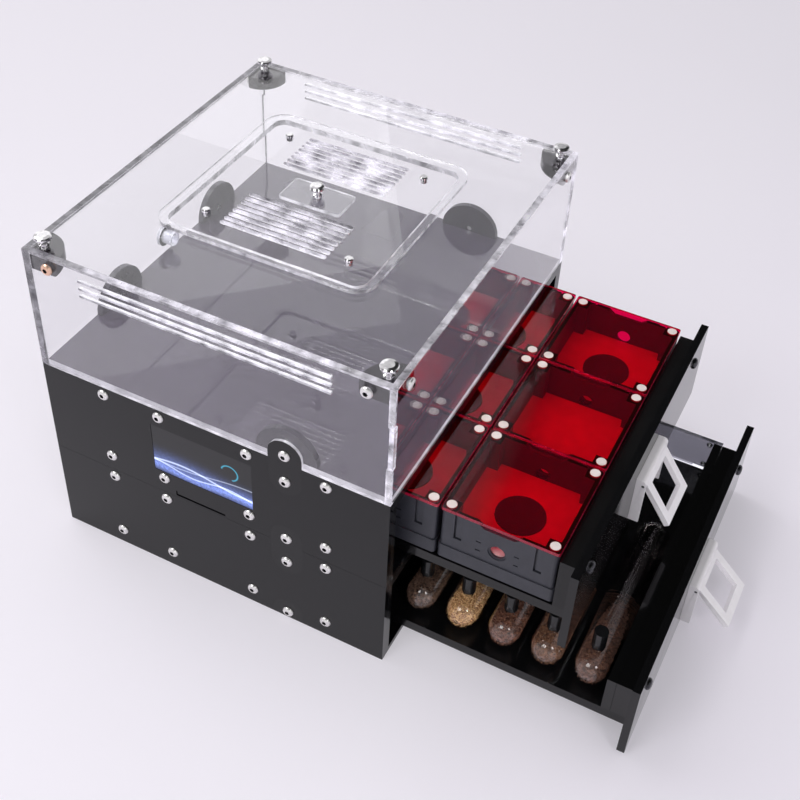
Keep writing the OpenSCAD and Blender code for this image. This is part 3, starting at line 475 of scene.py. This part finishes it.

# ---- Drawers ----
# Black bases, bar and fronts, with dark screws through the fronts. The lower drawer's side
# wall is smoked and see-through, with a painted glow of light along its foot and two small
# screws in its end.
drawer_sheet = gloss_sheet("drawer_sheet", "09090a", "0e0e10", 0.07, 0.4)
dress(drawer_sheet, "upper_drawer_base", "upper_drawer_front", "lower_drawer_base",
      "lower_drawer_front")
base_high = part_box("lower_drawer_base")[1]
walls_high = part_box("lower_drawer_walls")[1]
side_face, strip_top = base_high.y - 0.2 * MM, base_high.z + 1.2 * MM
smoked_wall, tree, out = new_finish("smoked_wall")
place = axes(tree)
at_back = calc("GREATER_THAN", place["Y"], side_face)
# A strip along the wall's foot glows as painted light.
under = calc("LESS_THAN", place["Z"], strip_top)
coat(tree, out, {"Base Color": two_tones(tree, at_back, "09090a", "9a9aa4"), "IOR": acrylic_index,
                 "Roughness": patches(tree, 0.06, 0.06, 0.12),
                 "Transmission Weight": calc("MULTIPLY", at_back, 0.85),
                 "Emission Color": paint("f0eef6"),
                 "Emission Strength": calc("MULTIPLY", calc("MULTIPLY", at_back, under), 0.6)})
dress(smoked_wall, "lower_drawer_walls")

small_steel = bright_metal("small_steel", "d8d8dc", "a8a8ae", 0.15, 0.1)
side_wall_end, screw_plane = walls_high.x - 14.6 * MM, base_high.y - 0.3 * MM
disc_radius, disc_height = 2.8 * MM, 0.6 * MM
socket_taper, socket_depth = 0.05 * MM, 1.0 * MM
# Each step of a head's dome goes inward and upward, and each screw has its place from the wall's
# end and over the base, all in millimetres.
dome_steps = ((0.15, 0.4), (0.35, 0.5), (0.6, 0.3), (0.2, 0.0))
for from_end, rise in ((11.0, 33.2), (12.0, 8.0)):
    head = bmesh.new()
    bmesh.ops.create_cone(head, cap_ends=True, segments=24, radius1=disc_radius,
                          radius2=disc_radius, depth=disc_height)
    top = [max(head.faces, key=lambda face: face.calc_center_median().z)]
    for inward, upward in dome_steps:
        bmesh.ops.inset_region(head, faces=top, thickness=inward * MM, depth=upward * MM)
    for corner in top[0].verts:
        turned = math.atan2(corner.co.y, corner.co.x) % (math.pi / 3) - math.pi / 6
        corner.co.x, corner.co.y = (side * math.cos(math.pi / 6) / math.cos(turned)
                                    for side in corner.co.xy)
    bmesh.ops.inset_region(head, faces=top, thickness=socket_taper, depth=-socket_depth)
    bmesh.ops.rotate(head, verts=head.verts, matrix=Matrix.Rotation(math.pi / 2, 3, "X"))
    spot = (side_wall_end - from_end * MM, screw_plane, base_high.z + rise * MM)
    bmesh.ops.translate(head, verts=head.verts, vec=spot)
    mesh = bpy.data.meshes.new(f"wall_screw_{round(rise)}")
    head.to_mesh(mesh)
    head.free()
    piece = new_piece(f"wall_screw_{round(rise)}", mesh, small_steel)
    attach(piece, "lower_drawer")

bar_block = gloss_sheet("bar_block", "09090a", "0e0e10", 0.2, 0.36)
dress(bar_block, "upper_drawer_bar")
dark_steel = bright_metal("dark_steel", "5a5a5e", "3c3c40", 0.2, 0.15)
dress(dark_steel, "upper_drawer_screws", "lower_drawer_screws")

# ---- Handles ----
# White moulded brackets with a square pull ring that swings on a steel pin.


def moulded(name, tone, second, rough_low, rough_high, bump):
    """Injection moulded plastic: an even colour with a fine spark-eroded grain."""
    finish, tree, out = new_finish(name)
    shade = two_tones(tree, patches(tree, 0.012, 0.0, 1.0, 3.0), tone, second)
    rough = patches(tree, 0.003, rough_low, rough_high)
    grain = texture(tree, "TexNoise", 2600.0)["Fac"]
    relief = add(tree, "Bump", {"Height": grain, "Strength": bump, "Distance": 0.06 * MM})
    coat(tree, out, {"Base Color": shade, "Roughness": rough, "Normal": relief.outputs["Normal"]})
    return finish


handle_white = moulded("handle_white", "faf7fa", "f3f0f3", 0.32, 0.42, 0.3)
dress(handle_white, "upper_handle_base", "upper_handle_ring", "lower_handle_base",
      "lower_handle_ring", edge=0.5)
pin_steel = bright_metal("pin_steel", "7a7a7e", "5c5c60", 0.25, 0.15)
dress(pin_steel, "upper_handle_pin", "lower_handle_pin")

# ---- Nest trays ----
# Moulded dark trays, each with a reservoir, a floor plate over it, and a moisture insert.
tray_plastic = moulded("tray_plastic", "2c2d35", "33343d", 0.4, 0.52, 0.5)
dress(tray_plastic, "front_nest_trays", "middle_nest_trays", "back_nest_trays", edge=0.25, steps=1)
plate_pale = moulded("plate_pale", "d8d2cf", "c9c3c1", 0.5, 0.6, 0.6)
dress(plate_pale, "nest_floors")
foam, tree, out = new_finish("foam")
cells = texture(tree, "TexVoronoi", 900.0)["Distance"]
relief = add(tree, "Bump", {"Height": cells, "Strength": 0.8, "Distance": 0.4 * MM})
shade = two_tones(tree, cells, "1c1414", "3a2a28")
coat(tree, out, {"Base Color": shade, "Roughness": 0.95, "Normal": relief.outputs["Normal"]})
dress(foam, "moisture_inserts")

# ---- Nest lids ----
# Red acrylic lids, 3 mm thick, with a pale disc magnet let into each corner. The inner ones,
# which the box covers, pass more light, a painted light that brightens the plates under them.
# The red cut edges are painted with a glow of light.
red_edge = ("b4143c", 0.6, 0.35)
red_sheet = clear_sheet("red_sheet", "Z", (0.86, 0.0, 0.07, 1.0), *red_edge)
dress(red_sheet, "front_nest_lid", "middle_nest_lid", "back_nest_lid")
# Painted light: this lighter red makes the plates under the inner lids look more lit.
painted_light_red = clear_sheet("painted_light_red", "Z", (1.0, 0.0, 0.1, 1.0), *red_edge)
dress(painted_light_red, "inner_nest_lids")
magnet_pale = moulded("magnet_pale", "e8dcd8", "dccfca", 0.3, 0.4, 0.1)
dress(magnet_pale, "nest_magnets")

# ---- Feeder tubes ----
# Blown glass tubes with a rounded end, a short neck and a rubber cap, part filled with seed.
# Their empty far ends, under the upper drawer, turn into a dimmed see-through glass without reflections,
# a painted shade.
tube_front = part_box("feeder_tubes")[0].y
fade_start, fade_end = tube_front + 45 * MM, tube_front + 110 * MM
tube_glass, tree, out = new_finish("tube_glass")
body = {"Base Color": (0.98, 0.98, 0.98, 1), "Roughness": patches(tree, 0.02, 0.0, 0.02),
        "IOR": 1.47, "Transmission Weight": 1.0}
wall = add(tree, "BsdfPrincipled", body).outputs["BSDF"]
# Painted shade: towards the far ends the glass becomes a dimmed, unreflecting see-through sheet.
painted_shade_glass = add(tree, "BsdfTransparent", {"Color": (0.8, 0.77, 0.77, 1)}).outputs["BSDF"]
far = ramp(axes(tree)["Y"], fade_start, fade_end, 0.0, 0.85)
faded = add(tree, "MixShader", {0: far, 1: wall, 2: painted_shade_glass}).outputs[0]
coat_clear(tree, out, faded, (0.96, 0.96, 0.96, 1))
dress(tube_glass, "feeder_tubes")
cap_rubber = gloss_sheet("cap_rubber", "101012", "1a1a1c", 0.16)
dress(cap_rubber, "tube_caps")

# ---- Seed ----
# Loose dry seed lying in each tube: a packed heap with single grains over its surface.
seed_tones = [("2c1a14", "8a6a58"), ("8a4f22", "f0c890"), ("33180f", "9a6650"),
              ("3a2014", "94664a"), ("2e1712", "8c604c")]
tube_count = len(seed_tones)
slope = math.tan(math.radians(12))
fill_rise = 9 * MM
glass_t = 1.6 * MM
tube_radius = 15 * MM
fill_radius = tube_radius - glass_t
fill_low, fill_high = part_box("tube_fill")
tube_step = (fill_high.x - fill_low.x - 2 * fill_radius) / (tube_count - 1)
front_y = fill_low.y + fill_radius
axis_z = fill_low.z + fill_radius
grain_size = 0.62 * MM
grain_shape = Matrix.Diagonal((1.5, 1.0, 0.9, 1.0))
skin_cover, top_cover = 0.7 * MM, 1.2 * MM
batches, batch_grains = 40, 60
top_share = 0.35
full_turn = 6.3
# Grains lie along the tube from its tip to their reach, in fill radii, and crowd to the tip.
crowding, reach, tip = 1.7, 7.0, 0.95


def seed_finish(name, dark, light):
    """Dry seed: every grain its own brown, with a dull husk."""
    finish, tree, out = new_finish(name)
    spots = texture(tree, "TexVoronoi", 800.0)["Color"]
    pick = add(tree, "SeparateXYZ", {"Vector": spots}).outputs["X"]
    coat(tree, out, {"Base Color": two_tones(tree, pick, dark, light),
                     "Roughness": patches(tree, 0.001, 0.35, 0.6)})
    return finish


def surface_z(y):
    """Height of the heap's sloping top at a depth."""
    return axis_z + fill_rise - slope * (y - front_y + tube_radius)


def packed_heap(centre_x):
    """The heap's body: a round-ended bar cut off by its sloping top, a grain under its skin."""
    heap = bmesh.new()
    bmesh.ops.create_uvsphere(heap, u_segments=24, v_segments=16, radius=fill_radius - skin_cover)
    bmesh.ops.rotate(heap, verts=heap.verts, matrix=Matrix.Rotation(math.pi / 2, 3, "X"))
    for v in heap.verts:
        v.co.y += front_y if v.co.y < 0 else fill_high.y
    bmesh.ops.translate(heap, verts=heap.verts, vec=(centre_x, 0, axis_z))
    at = (0, front_y, surface_z(front_y) - top_cover)
    bmesh.ops.bisect_plane(heap, geom=heap.verts[:] + heap.edges[:] + heap.faces[:], plane_co=at,
                           plane_no=(0, slope, 1), clear_outer=True)
    bmesh.ops.holes_fill(heap, edges=[e for e in heap.edges if e.is_boundary])
    bmesh.ops.recalc_face_normals(heap, faces=heap.faces)
    return heap


def grain_place(pick):
    """A point, from the tube's middle line, on the heap's top or on the skin against the glass."""
    y = front_y + fill_radius * (pick.random() ** crowding * reach - tip)
    past = max(front_y - y, 0)
    wide = math.sqrt(max(fill_radius ** 2 - past ** 2, 1e-9)) - skin_cover
    if pick.random() < top_share:
        x = pick.uniform(-1, 1) * wide
        z = surface_z(y) - axis_z - pick.uniform(0.3, 1.2) * MM
    else:
        angle = pick.uniform(-math.pi, math.pi)
        x, z = wide * math.cos(angle), wide * math.sin(angle)
    inside = x * x + z * z <= wide ** 2 * 1.001 and z <= surface_z(y) - axis_z
    return (x, y, z) if inside else None


def add_grains(heap, centre_x, pick):
    """Loose grains in small batches, each made by itself and then joined to the heap."""
    for _ in range(batches):
        batch = bmesh.new()
        for place in filter(None, [grain_place(pick) for _ in range(batch_grains)]):
            at = Matrix.Translation((centre_x + place[0], place[1], axis_z + place[2]))
            at = at @ Matrix.Rotation(pick.uniform(0, full_turn), 4, "Z")
            at = at @ Matrix.Rotation(pick.uniform(0, full_turn), 4, "X") @ grain_shape
            radius = pick.uniform(0.8, 1.2) * grain_size
            bmesh.ops.create_icosphere(batch, subdivisions=1, radius=radius, matrix=at)
        grains = bpy.data.meshes.new("grains")
        batch.to_mesh(grains)
        batch.free()
        heap.from_mesh(grains)
        bpy.data.meshes.remove(grains)


for i in range(tube_count):
    centre_x = fill_low.x + fill_radius + i * tube_step
    heap = packed_heap(centre_x)
    add_grains(heap, centre_x, random.Random(40 + i))
    mesh = bpy.data.meshes.new(f"seed_heap_{i + 1}")
    heap.to_mesh(mesh)
    heap.free()
    piece = new_piece(f"seed_heap_{i + 1}", mesh, seed_finish(f"seed_{i + 1}", *seed_tones[i]))
    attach(piece, "lower_drawer")
    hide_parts("tube_fill")
